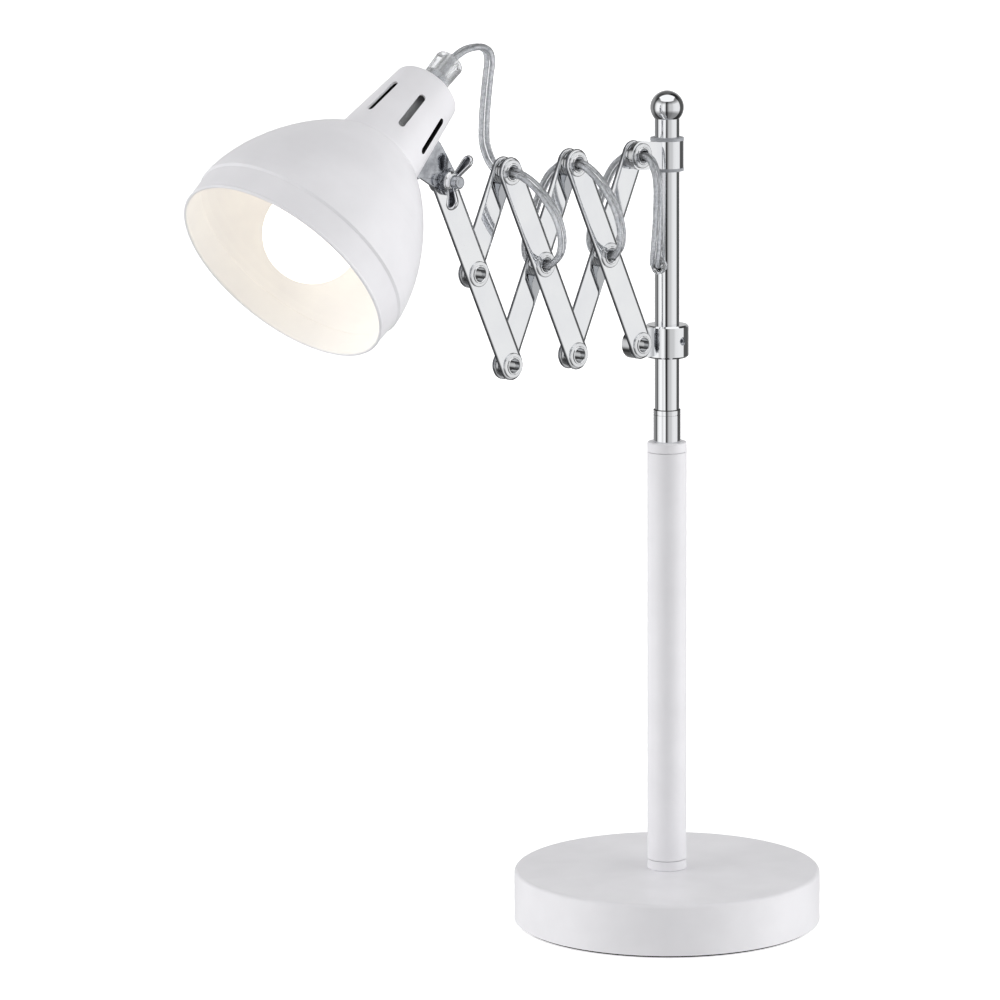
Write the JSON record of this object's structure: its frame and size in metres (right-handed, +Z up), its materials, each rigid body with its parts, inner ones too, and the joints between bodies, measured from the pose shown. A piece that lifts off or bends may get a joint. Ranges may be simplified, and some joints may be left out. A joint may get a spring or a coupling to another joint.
{
  "type": "accordion desk lamp",
  "caption": "Desk lamp on a round weighted base, with a chrome scissor arm that slides on the post and a white bell shade on a wing-nut pivot.",
  "frame": {"origin": "centre of the underside of the round base", "axes": "+Z up the post, the scissor arm reaches along -X, the wing nut faces -Y"},
  "size_m": [0.3618, 0.15, 0.4403],
  "materials": {
    "painted_white": "satin",
    "cast_iron": "rough cast",
    "zinc_steel": "zinc plated",
    "foam_pad": "matt foam",
    "polished_chrome": "mirror polished",
    "nickel_eyelet": "nickel plated, bright",
    "grey_plastic": "moulded",
    "black_steel": "black oxide",
    "clear_plastic": "clear",
    "clear_flex": "clear sheath over tinned strands",
    "black_plastic": "moulded",
    "brass": "plain",
    "opal_bulb": "opal, lit",
    "bulb_metal": "rolled thread"
  },
  "bodies": {
    "stand": {"base_cover": "painted_white", "base_weight": "cast_iron", "base_plate": "zinc_steel", "base_pad": "foam_pad", "base_washer": "zinc_steel", "base_nut": "zinc_steel", "base_stud": "zinc_steel", "cable_gland": "painted_white", "foot_ring": "painted_white", "tube_plug": "zinc_steel", "post_tube": "painted_white", "post_cap": "painted_white", "swivel_sleeve": "polished_chrome", "rod_seat": "grey_plastic", "flex_base": "clear_flex"},
    "mast": {"rod": "polished_chrome", "finial_ball": "polished_chrome", "lower_collar": "polished_chrome", "grub_screw": "black_steel", "cord_grommet": "clear_plastic", "flex_rod": "clear_flex"},
    "inner_front_bar": {"bar_front_inner": "polished_chrome", "eyelets_inner": "nickel_eyelet", "spacers_inner": "nickel_eyelet", "flex_loop_inner": "clear_flex"},
    "inner_back_bar": {"bar_back_inner": "polished_chrome", "eyelet_collar": "nickel_eyelet", "spacer_collar": "nickel_eyelet", "flex_back_inner": "clear_flex", "flex_post": "clear_flex"},
    "sliding_collar": {"upper_collar": "polished_chrome", "collar_bushes": "grey_plastic"},
    "middle_front_bar": {"bar_front_middle": "polished_chrome", "eyelets_middle": "nickel_eyelet", "spacers_middle": "nickel_eyelet", "flex_loop_outer": "clear_flex"},
    "middle_back_bar": {"bar_back_middle": "polished_chrome", "flex_back_outer": "clear_flex"},
    "outer_back_bar": {"bar_back_outer": "polished_chrome"},
    "outer_front_bar": {"bar_front_outer": "polished_chrome", "eyelets_outer": "nickel_eyelet", "spacers_outer": "nickel_eyelet", "pivot_bolt": "zinc_steel"},
    "head": {"head_bracket": "zinc_steel", "bracket_rivets": "zinc_steel", "star_washer": "zinc_steel", "spring_washer": "zinc_steel", "shade": "painted_white", "lampholder": "black_plastic", "holder_skirt": "black_plastic", "holder_shell": "brass", "holder_contact": "brass", "holder_nipple": "zinc_steel", "cord_grip": "clear_plastic", "bulb_glass": "opal_bulb", "bulb_cap": "bulb_metal", "flex_head": "clear_flex"},
    "wing_nut_body": {"wing_nut": "zinc_steel"}
  },
  "joints": [
    {"name": "arm_swivel", "type": "hinge", "parent": "stand", "child": "mast", "pos_m": [0, 0, 0.2], "axis": [0, 0, 1], "range_deg": [-165, 165]},
    {"name": "arm_extend", "type": "hinge", "parent": "mast", "child": "inner_front_bar", "pos_m": [-0.021, 0, 0.2883], "axis": [0, -1, 0], "range_deg": [-14, 32], "deforming": ["flex_post", "flex_head"]},
    {"name": "inner_cross_pivot", "type": "hinge", "parent": "inner_front_bar", "child": "inner_back_bar", "pos_m": [-0.04302, 0, 0.33386], "axis": [0, -1, 0], "range_deg": [-64, 28]},
    {"name": "collar_pivot", "type": "hinge", "parent": "inner_back_bar", "child": "sliding_collar", "pos_m": [-0.021, 0, 0.37941], "axis": [0, -1, 0], "range_deg": [-14, 32]},
    {"name": "inner_low_pivot", "type": "hinge", "parent": "inner_back_bar", "child": "middle_front_bar", "pos_m": [-0.06505, 0, 0.2883], "axis": [0, -1, 0], "range_deg": [-28, 64]},
    {"name": "middle_cross_pivot", "type": "hinge", "parent": "middle_front_bar", "child": "middle_back_bar", "pos_m": [-0.08707, 0, 0.33386], "axis": [0, -1, 0], "range_deg": [-64, 28]},
    {"name": "outer_top_pivot", "type": "hinge", "parent": "middle_front_bar", "child": "outer_back_bar", "pos_m": [-0.10909, 0, 0.37941], "axis": [0, -1, 0], "range_deg": [-64, 28]},
    {"name": "outer_cross_pivot", "type": "hinge", "parent": "outer_back_bar", "child": "outer_front_bar", "pos_m": [-0.13111, 0, 0.33386], "axis": [0, -1, 0], "range_deg": [-28, 64]},
    {"name": "head_tilt", "type": "hinge", "parent": "outer_front_bar", "child": "head", "pos_m": [-0.15314, 0, 0.37941], "axis": [0, -1, 0], "range_deg": [-45, 50], "deforming": ["flex_head"]},
    {"name": "wing_nut_turn", "type": "hinge", "parent": "outer_front_bar", "child": "wing_nut_body", "pos_m": [-0.15314, 0, 0.37941], "axis": [0, -1, 0], "continuous": true}
  ],
  "couplings": [
    {"joint": "inner_cross_pivot", "follows": "arm_extend", "ratio": -2},
    {"joint": "collar_pivot", "follows": "arm_extend", "ratio": 1},
    {"joint": "inner_low_pivot", "follows": "arm_extend", "ratio": 2},
    {"joint": "middle_cross_pivot", "follows": "arm_extend", "ratio": -2},
    {"joint": "outer_top_pivot", "follows": "arm_extend", "ratio": -2},
    {"joint": "outer_cross_pivot", "follows": "arm_extend", "ratio": 2}
  ]
}
